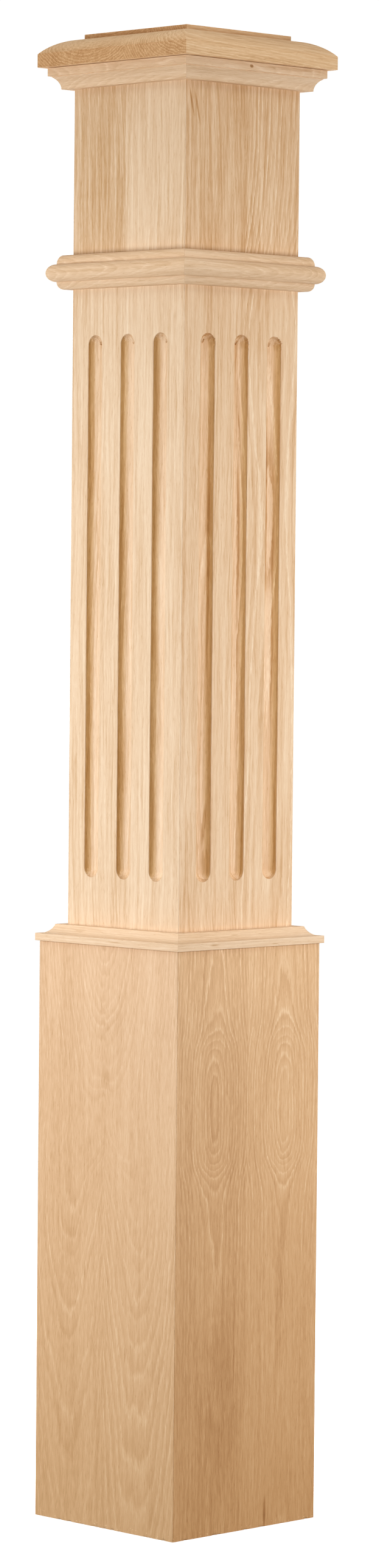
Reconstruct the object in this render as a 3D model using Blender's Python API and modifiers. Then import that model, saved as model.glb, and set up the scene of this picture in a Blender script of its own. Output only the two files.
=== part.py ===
"""Oak box newel post: a hollow fluted shaft, a box base wrapped round its foot, and a square raised cap.

The post stands on the floor at the origin, with its faces square to X and Y. Front is -Y and right is +X.
"""

import math

import bmesh
import bpy

# Driving dimensions, in metres
OVERALL_HEIGHT = 1.4224
GLUE_GAP = 0.0003

# Shaft
SHAFT_WIDTH = 0.1524
SHAFT_BOARD_THICKNESS = 0.01905
NECK_HEIGHT = 0.1577
NECK_SANDING = 0.0001

# Flutes
FLUTES_PER_FACE = 3
FLUTE_WIDTH = 0.01905
FLUTE_DEPTH = 0.008
FLUTE_CORNER_MARGIN = 0.02225
FLUTE_STOP_BELOW_BAND = 0.0442
FLUTE_STOP_ABOVE_BASE = 0.0465

# Base
BASE_HEIGHT = 0.5556
BASE_BOARD_THICKNESS = 0.01875

# Moulding on top of the base
BASE_MOULDING_OVERHANG = 0.0031
BASE_MOULDING_FILLET_HEIGHT = 0.0071
BASE_MOULDING_FILLET_LAND = 0.0032
BASE_MOULDING_COVE_HEIGHT = 0.0083
BASE_MOULDING_TOP_EDGE = 0.0005
BASE_MOULDING_TOP_FLAT = 0.0083

# Band round the neck
BAND_LOWER_OVOLO_HEIGHT = 0.0072
BAND_BEAD_HEIGHT = 0.0169
BAND_UPPER_OVOLO_HEIGHT = 0.0087
BAND_OVOLO_REACH = 0.011
BAND_OVOLO_FLAT = 0.006
BAND_BEAD_REACH = 0.0184

# Cove moulding under the cap
CAP_MOULDING_FASCIA_HEIGHT = 0.0079
CAP_MOULDING_FASCIA_REACH = 0.018
CAP_MOULDING_FILLET_LAND = 0.0027
CAP_MOULDING_FILLET_DROP = 0.0008
CAP_MOULDING_COVE_HEIGHT = 0.0116
CAP_MOULDING_FOOT_REACH = 0.0088

# Cap
CAP_OVERHANG = 0.0254
CAP_EDGE_HEIGHT = 0.0127
CAP_BORDER_RUN = 0.03175
CAP_BORDER_DROP = 0.0143
CAP_FIELD_STEP = 0.00475

# Fineness of round shapes
FLUTE_SIDES = 24
FLUTE_END_STEPS = 6
MOULDING_ARC_STEPS = 6
CAP_ARC_STEPS = 10

# Sizes that follow from those above
SHAFT_HALF = SHAFT_WIDTH / 2
SHAFT_FACE = SHAFT_HALF + GLUE_GAP
BASE_HALF = SHAFT_FACE + BASE_BOARD_THICKNESS
BASE_MOULDING_HALF = BASE_HALF + BASE_MOULDING_OVERHANG
BASE_MOULDING_BOTTOM = BASE_HEIGHT + GLUE_GAP
BASE_MOULDING_FILLET_TOP = BASE_MOULDING_BOTTOM + BASE_MOULDING_FILLET_HEIGHT
BASE_MOULDING_COVE_TOP = BASE_MOULDING_FILLET_TOP + BASE_MOULDING_COVE_HEIGHT
BASE_MOULDING_TOP = BASE_MOULDING_COVE_TOP + BASE_MOULDING_TOP_EDGE

CAP_HALF = SHAFT_HALF + CAP_OVERHANG
CAP_FIELD_HALF = CAP_HALF - CAP_BORDER_RUN
CAP_FIELD_FOOT = OVERALL_HEIGHT - CAP_FIELD_STEP
CAP_ARRIS = CAP_FIELD_FOOT - CAP_BORDER_DROP
CAP_BOTTOM = CAP_ARRIS - CAP_EDGE_HEIGHT

CAP_MOULDING_TOP = CAP_BOTTOM - GLUE_GAP
CAP_MOULDING_FASCIA_BOTTOM = CAP_MOULDING_TOP - CAP_MOULDING_FASCIA_HEIGHT
CAP_MOULDING_COVE_TOP = CAP_MOULDING_FASCIA_BOTTOM - CAP_MOULDING_FILLET_DROP
CAP_MOULDING_BOTTOM = CAP_MOULDING_COVE_TOP - CAP_MOULDING_COVE_HEIGHT

BAND_TOP = CAP_MOULDING_BOTTOM - NECK_HEIGHT
BAND_BEAD_TOP = BAND_TOP - BAND_UPPER_OVOLO_HEIGHT
BAND_BEAD_BOTTOM = BAND_BEAD_TOP - BAND_BEAD_HEIGHT
BAND_BEAD_MIDDLE = (BAND_BEAD_TOP + BAND_BEAD_BOTTOM) / 2
BAND_BOTTOM = BAND_BEAD_BOTTOM - BAND_LOWER_OVOLO_HEIGHT

SHAFT_TOP = CAP_BOTTOM - GLUE_GAP
NECK_TOP = CAP_MOULDING_BOTTOM - GLUE_GAP
NECK_BOTTOM = BAND_TOP + GLUE_GAP
FLUTE_TOP = BAND_BOTTOM - FLUTE_STOP_BELOW_BAND
FLUTE_BOTTOM = BASE_MOULDING_TOP + FLUTE_STOP_ABOVE_BASE
FLUTE_RADIUS = ((FLUTE_WIDTH / 2) ** 2 + FLUTE_DEPTH**2) / (2 * FLUTE_DEPTH)
FLUTE_SPREAD = SHAFT_WIDTH - 2 * FLUTE_CORNER_MARGIN - FLUTE_WIDTH

# Turn of each side about the post's axis, from the right side at +X
SIDES = {"right": 0.0, "back": math.pi / 2, "left": math.pi, "front": -math.pi / 2}

# Directions from a circle's centre to a point on it, and how far round a cove's arc goes
DOWN = -math.pi / 2
OUT = 0.0
UP = math.pi / 2
IN = math.pi
COVE_SWEEP = math.radians(62)


def clear_scene():
    """Remove every object that the scene starts with."""
    for item in list(bpy.data.objects):
        bpy.data.objects.remove(item, do_unlink=True)


def new_collection(name, is_helper=False):
    """Add a collection to the scene. A helper collection is left out of renders."""
    collection = bpy.data.collections.new(name)
    bpy.context.scene.collection.children.link(collection)
    collection.hide_render = is_helper
    return collection


def oak(name, colour, roughness):
    """Plain material in the wood's mean colour."""
    material = bpy.data.materials.new(name)
    material.use_nodes = True
    shader = material.node_tree.nodes["Principled BSDF"]
    shader.inputs["Base Color"].default_value = (*colour, 1.0)
    shader.inputs["Roughness"].default_value = roughness
    shader.inputs["Metallic"].default_value = 0.0
    material.diffuse_color = (*colour, 1.0)
    return material


def arc(start, end, first_angle, last_angle, steps=MOULDING_ARC_STEPS):
    """Points of a circle's arc between two angles, stretched so that it runs from start to end.

    The start is left out, because the outline already holds it.
    """
    width = math.cos(last_angle) - math.cos(first_angle)
    height = math.sin(last_angle) - math.sin(first_angle)
    points = []
    for step in range(1, steps + 1):
        angle = first_angle + (last_angle - first_angle) * step / steps
        across = (math.cos(angle) - math.cos(first_angle)) / width
        upward = (math.sin(angle) - math.sin(first_angle)) / height
        x = start[0] + (end[0] - start[0]) * across
        z = start[1] + (end[1] - start[1]) * upward
        points.append((x, z))
    return points


def base_board_outline():
    """Section of a base board, as distance from the post's axis and height."""
    return [(SHAFT_FACE, 0.0), (BASE_HALF, 0.0), (BASE_HALF, BASE_HEIGHT), (SHAFT_FACE, BASE_HEIGHT)]


def shaft_board_outline():
    """Section of a shaft board. Its neck, where a rail's end fits, is sanded down a hair."""
    inner = SHAFT_HALF - SHAFT_BOARD_THICKNESS
    neck = SHAFT_HALF - NECK_SANDING
    return [
        (inner, 0.0),
        (SHAFT_HALF, 0.0),
        (SHAFT_HALF, NECK_BOTTOM),
        (neck, NECK_BOTTOM),
        (neck, NECK_TOP),
        (SHAFT_HALF, NECK_TOP),
        (SHAFT_HALF, SHAFT_TOP),
        (inner, SHAFT_TOP),
    ]


def base_moulding_outline():
    """Square fillet standing proud of the base, with a cove above it that runs in towards the shaft."""
    fillet_inner = (BASE_MOULDING_HALF - BASE_MOULDING_FILLET_LAND, BASE_MOULDING_FILLET_TOP)
    cove_top = (SHAFT_FACE + BASE_MOULDING_TOP_FLAT, BASE_MOULDING_COVE_TOP)
    outline = [
        (SHAFT_FACE, BASE_MOULDING_BOTTOM),
        (BASE_MOULDING_HALF, BASE_MOULDING_BOTTOM),
        (BASE_MOULDING_HALF, BASE_MOULDING_FILLET_TOP),
        fillet_inner,
    ]
    outline += arc(fillet_inner, cove_top, DOWN, DOWN - COVE_SWEEP)
    outline += [(cove_top[0], BASE_MOULDING_TOP), (SHAFT_FACE, BASE_MOULDING_TOP)]
    return outline


def band_outline():
    """Half-round bead between two smaller quarter rounds."""
    ovolo = SHAFT_FACE + BAND_OVOLO_REACH
    flat = SHAFT_FACE + BAND_OVOLO_FLAT
    bead = SHAFT_FACE + BAND_BEAD_REACH
    outline = [(SHAFT_FACE, BAND_BOTTOM), (flat, BAND_BOTTOM)]
    outline += arc((flat, BAND_BOTTOM), (ovolo, BAND_BEAD_BOTTOM), DOWN, OUT)
    outline += arc((ovolo, BAND_BEAD_BOTTOM), (bead, BAND_BEAD_MIDDLE), DOWN, OUT)
    outline += arc((bead, BAND_BEAD_MIDDLE), (ovolo, BAND_BEAD_TOP), OUT, UP)
    outline += arc((ovolo, BAND_BEAD_TOP), (flat, BAND_TOP), OUT, UP)
    outline.append((SHAFT_FACE, BAND_TOP))
    return outline


def cap_moulding_outline():
    """Square fascia with a fillet and a cove below it."""
    foot = (SHAFT_FACE + CAP_MOULDING_FOOT_REACH, CAP_MOULDING_BOTTOM)
    fascia = SHAFT_FACE + CAP_MOULDING_FASCIA_REACH
    cove_top = (fascia - CAP_MOULDING_FILLET_LAND, CAP_MOULDING_COVE_TOP)
    outline = [(SHAFT_FACE, CAP_MOULDING_BOTTOM), foot]
    outline += arc(foot, cove_top, IN, IN - COVE_SWEEP)
    outline += [
        (cove_top[0], CAP_MOULDING_FASCIA_BOTTOM),
        (fascia, CAP_MOULDING_FASCIA_BOTTOM),
        (fascia, CAP_MOULDING_TOP),
        (SHAFT_FACE, CAP_MOULDING_TOP),
    ]
    return outline


def extruded_mesh(name, outline):
    """Mesh of an outline drawn in XY and extruded along Z, with its caps welded on."""
    curve = bpy.data.curves.new(name, "CURVE")
    curve.dimensions = "2D"
    curve.fill_mode = "BOTH"
    curve.extrude = SHAFT_HALF
    spline = curve.splines.new("POLY")
    spline.points.add(len(outline) - 1)
    for point, (x, y) in zip(spline.points, outline):
        point.co = (x, y, 0.0, 1.0)
    spline.use_cyclic_u = True
    drawn = bpy.data.objects.new(name, curve)
    bpy.context.scene.collection.objects.link(drawn)
    bpy.context.view_layer.update()
    evaluated = drawn.evaluated_get(bpy.context.evaluated_depsgraph_get())
    mesh = bpy.data.meshes.new_from_object(evaluated)
    bpy.data.objects.remove(drawn, do_unlink=True)
    return mesh


def mitre_ends(mesh):
    """Cut both ends at 45 degrees: each point as far along as it is out from the axis, less half the gap."""
    shape = bmesh.new()
    shape.from_mesh(mesh)
    bmesh.ops.remove_doubles(shape, verts=shape.verts, dist=1e-6)
    for vertex in shape.verts:
        reach = vertex.co.x - GLUE_GAP / math.sqrt(2)
        vertex.co.z = math.copysign(reach, vertex.co.z)
    bmesh.ops.recalc_face_normals(shape, faces=shape.faces)
    shape.to_mesh(mesh)
    shape.free()


def side_name(piece, side):
    """Name of a piece that is repeated on each side of the post."""
    return f"{piece}_{side}"


def wrap_post(piece, outline, material, collection, post):
    """Four lengths of one section round the post, mitred at its corners."""
    mesh = extruded_mesh(piece, outline)
    mitre_ends(mesh)
    mesh.materials.clear()
    mesh.materials.append(material)
    lengths = {}
    for side, turn in SIDES.items():
        length = bpy.data.objects.new(side_name(piece, side), mesh)
        length.rotation_euler = (math.pi / 2, 0.0, turn)
        length.parent = post
        collection.objects.link(length)
        lengths[side] = length
    return lengths


def turned(name, profile, steps):
    """Object whose profile, radius and height from top to bottom, is turned about Z."""
    mesh = bpy.data.meshes.new(name)
    shape = bmesh.new()
    points = [shape.verts.new((radius, 0.0, height)) for radius, height in profile]
    for upper, lower in zip(points, points[1:]):
        shape.edges.new((upper, lower))
    shape.to_mesh(mesh)
    shape.free()
    item = bpy.data.objects.new(name, mesh)
    screw = item.modifiers.new("turn", "SCREW")
    screw.steps = steps
    screw.render_steps = steps
    screw.use_merge_vertices = True
    screw.merge_threshold = 0.00001
    screw.use_smooth_shade = False
    return item


def flute_profile():
    """Half outline of a round-nosed flute from its top end to its bottom end."""
    upper_centre = FLUTE_TOP - FLUTE_WIDTH / 2
    lower_centre = FLUTE_BOTTOM + FLUTE_WIDTH / 2
    top = (0.0, upper_centre + FLUTE_RADIUS)
    bottom_turn = (FLUTE_RADIUS, lower_centre)
    profile = [top]
    profile += arc(top, (FLUTE_RADIUS, upper_centre), UP, OUT, FLUTE_END_STEPS)
    profile.append(bottom_turn)
    profile += arc(bottom_turn, (0.0, lower_centre - FLUTE_RADIUS), OUT, DOWN, FLUTE_END_STEPS)
    return profile


def cut_flutes(board, side, cutters, post):
    """Cut a face's flutes with a row of round-nosed rods that lie partly in front of the board."""
    spacing = FLUTE_SPREAD / max(FLUTES_PER_FACE - 1, 1)
    rods = turned(side_name("flute_cutter", side), flute_profile(), FLUTE_SIDES)
    row = rods.modifiers.new("row", "ARRAY")
    row.count = FLUTES_PER_FACE
    row.use_relative_offset = False
    row.use_constant_offset = True
    row.constant_offset_displace = (0.0, spacing, 0.0)
    outward = SHAFT_HALF - FLUTE_DEPTH + FLUTE_RADIUS
    first = -spacing * (FLUTES_PER_FACE - 1) / 2
    turn = SIDES[side]
    rods.location.x = outward * math.cos(turn) - first * math.sin(turn)
    rods.location.y = outward * math.sin(turn) + first * math.cos(turn)
    rods.rotation_euler.z = turn
    rods.parent = post
    rods.hide_render = True
    rods.display_type = "WIRE"
    cutters.objects.link(rods)
    cut = board.modifiers.new("flutes", "BOOLEAN")
    cut.operation = "DIFFERENCE"
    cut.solver = "EXACT"
    cut.object = rods


def make_cap(material, collection, post):
    """Square cap turned in four steps: field, step, border that falls in an arc, edge and underside."""
    diagonal = math.sqrt(2)
    field_foot = (CAP_FIELD_HALF, CAP_FIELD_FOOT)
    arris = (CAP_HALF, CAP_ARRIS)
    fall = 2 * math.atan2(CAP_BORDER_DROP, CAP_BORDER_RUN)
    section = [(0.0, OVERALL_HEIGHT), (CAP_FIELD_HALF, OVERALL_HEIGHT), field_foot]
    section += arc(field_foot, arris, UP, UP - fall, CAP_ARC_STEPS)
    section += [(CAP_HALF, CAP_BOTTOM), (0.0, CAP_BOTTOM)]
    profile = [(half * diagonal, height) for half, height in section]
    cap = turned("cap", profile, len(SIDES))
    cap.rotation_euler.z = math.pi / 4
    cap.data.materials.append(material)
    cap.parent = post
    collection.objects.link(cap)


def build_post():
    """Build every piece of the post."""
    clear_scene()
    pieces = new_collection("box_newel_post")
    cutters = new_collection("box_newel_post_cutters", is_helper=True)
    post = bpy.data.objects.new("post", None)
    pieces.objects.link(post)

    make_cap(oak("oak_cap", (0.56, 0.37, 0.19), 0.55), pieces, post)
    wrap_post(
        "cap_moulding",
        cap_moulding_outline(),
        oak("oak_cap_moulding", (0.62, 0.42, 0.22), 0.55),
        pieces,
        post,
    )
    wrap_post(
        "band_moulding",
        band_outline(),
        oak("oak_band_moulding", (0.66, 0.46, 0.25), 0.55),
        pieces,
        post,
    )
    wrap_post(
        "base_moulding",
        base_moulding_outline(),
        oak("oak_base_moulding", (0.62, 0.42, 0.22), 0.55),
        pieces,
        post,
    )
    wrap_post(
        "base_board",
        base_board_outline(),
        oak("oak_base", (0.55, 0.34, 0.16), 0.55),
        pieces,
        post,
    )
    boards = wrap_post(
        "shaft_board",
        shaft_board_outline(),
        oak("oak_shaft", (0.68, 0.48, 0.27), 0.55),
        pieces,
        post,
    )
    for side, board in boards.items():
        cut_flutes(board, side, cutters, post)


build_post()
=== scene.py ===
import logging
import math
from dataclasses import dataclass, field
from enum import Enum
from typing import Optional, Union

import bmesh
import bpy
import numpy as np
from mathutils import Matrix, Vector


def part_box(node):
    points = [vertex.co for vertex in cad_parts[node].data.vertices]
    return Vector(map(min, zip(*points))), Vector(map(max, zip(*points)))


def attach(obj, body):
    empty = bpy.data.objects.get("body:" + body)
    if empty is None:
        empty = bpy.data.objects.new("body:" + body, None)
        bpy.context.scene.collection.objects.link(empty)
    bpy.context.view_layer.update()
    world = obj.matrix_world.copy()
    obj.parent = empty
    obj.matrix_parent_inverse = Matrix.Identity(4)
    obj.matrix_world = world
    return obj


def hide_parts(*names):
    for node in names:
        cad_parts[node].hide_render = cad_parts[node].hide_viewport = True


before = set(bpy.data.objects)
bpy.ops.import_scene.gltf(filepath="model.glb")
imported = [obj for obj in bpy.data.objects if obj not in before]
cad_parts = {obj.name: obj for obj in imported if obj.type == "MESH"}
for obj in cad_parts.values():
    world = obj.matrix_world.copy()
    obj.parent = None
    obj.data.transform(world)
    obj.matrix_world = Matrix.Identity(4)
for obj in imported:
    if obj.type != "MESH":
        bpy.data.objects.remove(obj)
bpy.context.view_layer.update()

log = logging.getLogger("newel")

Plug = bpy.types.NodeSocket
Socket = Union[Plug, float]
Points = np.ndarray
Pair = tuple[float, float]
Triple = tuple[float, float, float]
Course = tuple[Pair, ...]

# Lengths are in metres. Gaps at the mitres and behind the mouldings, and how near two points are welded
MITRE_GAP = 0.00003
JOINT_GAP = 0.00018
WELD = 0.000002
SHARP_ANGLE = math.radians(48)

# Cells of each noise in the wood: size across the grain, in depth and along the grain
SWAY_CELL, RIPPLE_CELL, FEATHER_CELL = (0.02, 0.02, 0.11), (0.0045, 0.0045, 0.028), (0.0007, 0.0007, 0.009)
BEND_CELL, CURL_CELL = (0.011, 0.011, 0.045), (0.004, 0.004, 0.014)
FIBRE_CELL, STRAND_CELL = (0.0005, 0.0005, 0.01), (0.0011, 0.0011, 0.024)
STREAK_CELL, DRIFT_CELL = (0.003, 0.003, 0.11), (0.03, 0.03, 0.25)
PORE_CELL, FLECK_CELL = (0.0007, 0.0007, 0.0055), (0.0021, 0.0021, 0.012)
FRAY_CELL, SCUFF_CELL, GRIT_CELL = (0.0012, 0.0012, 0.02), (0.0052, 0.0052, 0.0026), (0.0007, 0.0007, 0.004)

# Places of the palette's middle colours on the way from pore to palest wood, and how much the drift adds
EARLY_STOP, MIDDLE_STOP = 0.32, 0.62
DRIFT = 0.2


class Side(Enum):
    """The post's four sides, as quarter turns about its axis from +X."""

    RIGHT = 0
    BACK = 1
    LEFT = 2
    FRONT = 3

    @property
    def label(self) -> str:
        """Word for the side in the names of the nodes."""
        return self.name.lower()

    @property
    def turn(self) -> float:
        """Turn from +X, in radians."""
        return self.value * math.pi / 2

    def place(self, out: Points, across: Points, up: Points) -> Points:
        """Put points of the side into the post's frame.

        For the side's turn t, the outward direction is (cos t, sin t) and the one across is (-sin t, cos t).

        Args:
            out: Distances from the post's axis plane, square to the side.
            across: Distances to the right as seen from outside.
            up: Heights above the floor.

        Returns:
            Array of the same shape with x, y and z in its last axis.
        """
        out, across, up = np.broadcast_arrays(out, across, up)
        cosine, sine = round(math.cos(self.turn)), round(math.sin(self.turn))
        return np.stack([out * cosine - across * sine, out * sine + across * cosine, up], axis=-1)


class Grain(Enum):
    """Which way the grain of a piece runs."""

    UPWARD = "up the post"
    SIDEWAYS = "along a side"
    THROUGH = "from front to back"


def node_name(piece: str, side: Side) -> str:
    """Name of a CAD node that is repeated on each side."""
    return f"{piece}_{side.label}"


def bump_row(places: Points, centre: float, half_width: float) -> Points:
    """Raised cosine, 1 at the centre and 0 from half_width outwards, at each of the places."""
    reach = np.clip(np.abs(places - centre) / half_width, 0.0, 1.0)
    return (1.0 + np.cos(np.pi * reach)) / 2.0


def arc_points(start: Pair, end: Pair, first: float, last: float, steps: int) -> Points:
    """Circle's arc between two angles, stretched so that it runs from start to end.

    Each coordinate goes from start to end by the share that the cosine or the sine has covered.

    Args:
        start: First point, as distance out and height.
        end: Last point.
        first: Angle from the circle's centre to the first point, in degrees.
        last: Angle to the last point, in degrees.
        steps: Number of pieces that the arc is cut into.

    Returns:
        Array of steps + 1 points.
    """
    angle = np.radians(np.linspace(first, last, steps + 1))
    share_out = (np.cos(angle) - np.cos(angle[0])) / (np.cos(angle[-1]) - np.cos(angle[0]))
    share_up = (np.sin(angle) - np.sin(angle[0])) / (np.sin(angle[-1]) - np.sin(angle[0]))
    x = start[0] + (end[0] - start[0]) * share_out
    z = start[1] + (end[1] - start[1]) * share_up
    return np.stack([x, z], axis=-1)


def eased_outline(corners: Points, radii: Points, steps: int = 4, guard: float = 0.00025) -> Points:
    """Closed outline with rounded corners, and a guard point on the straight beyond each end of a rounding.

    Each corner becomes a parabola from the point its radius short of it to the point its radius past it:
    (1-s)^2 times the first, 2s(1-s) times the corner and s^2 times the last. A radius of 0 keeps the corner.

    Args:
        corners: Corners in order, as rows of distance out and height.
        radii: How far from each corner its rounding starts.
        steps: Pieces in each rounding.
        guard: How far beyond a rounding its guard point lies.

    Returns:
        Array of points without repeats.
    """
    before = np.roll(corners, 1, axis=0) - corners
    after = np.roll(corners, -1, axis=0) - corners
    length_before = np.linalg.norm(before, axis=1)
    length_after = np.linalg.norm(after, axis=1)
    before /= length_before[:, None]
    after /= length_after[:, None]
    reach = np.minimum(radii, 0.4 * np.minimum(length_before, length_after))
    spare_before = np.minimum(guard, 0.08 * length_before) * (radii > 0)
    spare_after = np.minimum(guard, 0.08 * length_after) * (radii > 0)
    first = corners + before * reach[:, None]
    last = corners + after * reach[:, None]
    share = np.linspace(0.0, 1.0, steps + 1)[None, :, None]
    bend = 2 * share * (1 - share) * corners[:, None]
    rounding = (1 - share) ** 2 * first[:, None] + bend + share**2 * last[:, None]
    lead = (first + before * spare_before[:, None])[:, None]
    trail = (last + after * spare_after[:, None])[:, None]
    points = np.concatenate([lead, rounding, trail], axis=1).reshape(-1, 2)
    fresh = np.linalg.norm(points - np.roll(points, 1, axis=0), axis=1) > 2 * WELD
    return points[fresh]


@dataclass
class Shell:
    """Patches and caps that are welded into one closed mesh.

    Attributes:
        name: Name of the piece.
        points: Arrays of points, in the post's frame.
        faces: Faces as rows of indices into all the points.
    """

    name: str
    points: list[Points] = field(default_factory=list)
    faces: list[list[int]] = field(default_factory=list)

    def _take(self, points: Points) -> int:
        """Store points and give the index of the first."""
        first = sum(len(batch) for batch in self.points)
        self.points.append(points.reshape(-1, 3))
        return first

    def patch(self, points: Points) -> None:
        """Add a grid of four-sided faces.

        Args:
            points: Rows by columns by x, y and z. Face (j, i) joins points i and i+1 of rows j and j+1.
        """
        rows, columns = points.shape[:2]
        index = self._take(points) + np.arange(rows * columns).reshape(rows, columns)
        quads = np.stack([index[:-1, :-1], index[1:, :-1], index[1:, 1:], index[:-1, 1:]], axis=-1)
        self.faces += quads.reshape(-1, 4).tolist()

    def cap(self, points: Points) -> None:
        """Add one flat face with the given corners."""
        first = self._take(points)
        self.faces.append(list(range(first, first + len(points))))

    def make(self, material: bpy.types.Material, slot: str, node: str) -> bpy.types.Object:
        """Weld the patches into a closed, outward mesh that stands for a CAD node.

        Args:
            material: Finish of the piece.
            slot: The record's material slot; not used.
            node: CAD node that the piece replaces.

        Returns:
            The piece's object, at the origin.
        """
        mesh = bpy.data.meshes.new(self.name)
        mesh.from_pydata(np.concatenate(self.points).tolist(), [], self.faces)
        shape = bmesh.new()
        shape.from_mesh(mesh)
        bmesh.ops.remove_doubles(shape, verts=shape.verts, dist=WELD)
        bmesh.ops.recalc_face_normals(shape, faces=shape.faces)
        open_edges = sum(not edge.is_manifold for edge in shape.edges)
        shape.to_mesh(mesh)
        shape.free()
        mesh.shade_smooth()
        mesh.set_sharp_from_angle(angle=SHARP_ANGLE)
        mesh.materials.append(material)
        piece = bpy.data.objects.new(self.name, mesh)
        bpy.context.scene.collection.objects.link(piece)
        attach(piece, "root")
        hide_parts(node)
        log.info("%s: %d faces, %d open edges", self.name, len(mesh.polygons), open_edges)
        return piece


class NodeSheet:
    """A material's node tree, drawn with short calls that take sockets or numbers."""

    def __init__(self, name: str) -> None:
        """Start an empty material.

        Args:
            name: Name of the material.
        """
        self.material = bpy.data.materials.new(name)
        self.material.use_nodes = True
        self.tree = self.material.node_tree
        self.shader = self.tree.nodes["Principled BSDF"]
        self.count = 0

    def node(self, kind: str, **settings: object) -> bpy.types.Node:
        """Add a node of a kind and set its properties."""
        made = self.tree.nodes.new(kind)
        made.location = (-220.0 * (1 + self.count // 8), 180.0 * (self.count % 8))
        self.count += 1
        for name, value in settings.items():
            setattr(made, name, value)
        return made

    def feed(self, socket: Plug, value: Socket) -> None:
        """Link a socket to an input, or set the input to a number."""
        if isinstance(value, Plug):
            self.tree.links.new(value, socket)
        else:
            socket.default_value = value

    def math(self, operation: str, a: Socket, b: Socket = 0.0, c: Socket = 0.0) -> Plug:
        """Math node on up to three values."""
        made = self.node("ShaderNodeMath", operation=operation)
        for socket, value in zip(made.inputs, (a, b, c)):
            self.feed(socket, value)
        return made.outputs[0]

    def times(self, a: Socket, b: Socket) -> Plug:
        """Product of two values."""
        return self.math("MULTIPLY", a, b)

    def less(self, a: Socket, b: Socket) -> Plug:
        """The first value less the second."""
        return self.math("SUBTRACT", a, b)

    def plus(self, total: Socket, *terms: tuple[Socket, Socket]) -> Socket:
        """Total with each term added, where a term is a value and its weight."""
        for value, weight in terms:
            total = self.math("MULTIPLY_ADD", value, weight, total)
        return total

    def steepness(self, along: Triple) -> Plug:
        """How nearly a surface faces along a direction, either way, from 0 to 1."""
        made = self.node("ShaderNodeVectorMath", operation="DOT_PRODUCT")
        self.feed(made.inputs[0], self.node("ShaderNodeTexCoord").outputs["Normal"])
        made.inputs[1].default_value = along
        return self.math("ABSOLUTE", made.outputs["Value"])

    def ramp(self, value: Socket, low: float, high: float, to_low: float = 0.0, to_high: float = 1.0,
             smooth: bool = True) -> Plug:
        """Map a value from one range to another, held at the ends.

        Args:
            value: What is mapped.
            low: Value that gives to_low.
            high: Value that gives to_high.
            to_low: Result at low.
            to_high: Result at high.
            smooth: Whether it eases in and out.

        Returns:
            The mapped value.
        """
        made = self.node("ShaderNodeMapRange", interpolation_type="SMOOTHSTEP" if smooth else "LINEAR")
        for socket, number in zip(made.inputs, (value, low, high, to_low, to_high)):
            self.feed(socket, number)
        return made.outputs[0]

    def blend(self, share: Socket, a: Socket, b: Socket) -> Plug:
        """Mix of two numbers: a where the share is 0 and b where it is 1."""
        made = self.node("ShaderNodeMix", data_type="FLOAT")
        for name, value in (("Factor", share), ("A", a), ("B", b)):
            self.feed(made.inputs[name], value)
        return made.outputs[0]

    def tint(self, share: Socket, colour: Socket, by: Triple) -> Plug:
        """Colour as it is where the share is 0, and multiplied by another where it is 1."""
        made = self.node("ShaderNodeMix", data_type="RGBA", blend_type="MULTIPLY")
        sockets = {socket.identifier: socket for socket in made.inputs}
        self.feed(sockets["Factor_Float"], share)
        self.feed(sockets["A_Color"], colour)
        sockets["B_Color"].default_value = (*by, 1.0)
        return made.outputs["Result"]

    def course(self, along: Socket, course: Course) -> Plug:
        """Value that follows a smooth curve along the grain.

        Args:
            along: Place along the grain.
            course: Pairs of place and value, in order.

        Returns:
            The value at that place, held beyond both ends.
        """
        places, values = np.array(course).T
        low, span = float(values.min()), max(float(np.ptp(values)), 1e-6)
        share = self.ramp(along, float(places[0]), float(places[-1]), smooth=False)
        made = self.node("ShaderNodeFloatCurve")
        curve = made.mapping.curves[0]
        marks = np.stack([(places - places[0]) / np.ptp(places), (values - low) / span], axis=-1)
        for point, mark in zip((curve.points[0], curve.points[1]), (marks[0], marks[-1])):
            point.location = mark
        for mark in marks[1:-1]:
            curve.points.new(*mark)
        made.mapping.update()
        self.feed(made.inputs["Value"], share)
        return self.plus(low, (made.outputs[0], span))

    def vector(self, x: Socket, y: Socket, z: Socket) -> Plug:
        """Vector from its three parts."""
        made = self.node("ShaderNodeCombineXYZ")
        for socket, value in zip(made.inputs, (x, y, z)):
            self.feed(socket, value)
        return made.outputs[0]

    def cells(self, place: Plug, size: Triple, seed: float) -> Plug:
        """Place measured in cells of a given size, moved by a seed.

        Args:
            place: Vector of across, depth and along.
            size: Size of a cell across, in depth and along, in metres.
            seed: Offset in cells, so that pieces differ.

        Returns:
            Vector for a noise or Voronoi node with a scale of 1.
        """
        made = self.node("ShaderNodeVectorMath", operation="MULTIPLY_ADD")
        self.feed(made.inputs[0], place)
        made.inputs[1].default_value = tuple(1.0 / part for part in size)
        made.inputs[2].default_value = (seed * 7.31, seed * 3.17, seed * 5.53)
        return made.outputs[0]

    def noise(self, place: Plug, size: Triple, seed: float, detail: float = 2.0) -> Plug:
        """Noise from 0 to 1, about 0.5, with cells of a given size."""
        made = self.node("ShaderNodeTexNoise")
        self.feed(made.inputs["Vector"], self.cells(place, size, seed))
        made.inputs["Scale"].default_value = 1.0
        made.inputs["Detail"].default_value = detail
        return made.outputs["Fac"]

    def dashes(self, place: Plug, size: Triple, seed: float, reach: Socket, soft: float = 0.12) -> Plug:
        """Scattered dashes, one in each cell: 1 within reach of the cell's point, falling to 0 past it."""
        made = self.node("ShaderNodeTexVoronoi", feature="F1")
        self.feed(made.inputs["Vector"], self.cells(place, size, seed))
        made.inputs["Scale"].default_value = 1.0
        return self.ramp(self.less(made.outputs["Distance"], reach), 0.0, soft, 1.0, 0.0)


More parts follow.
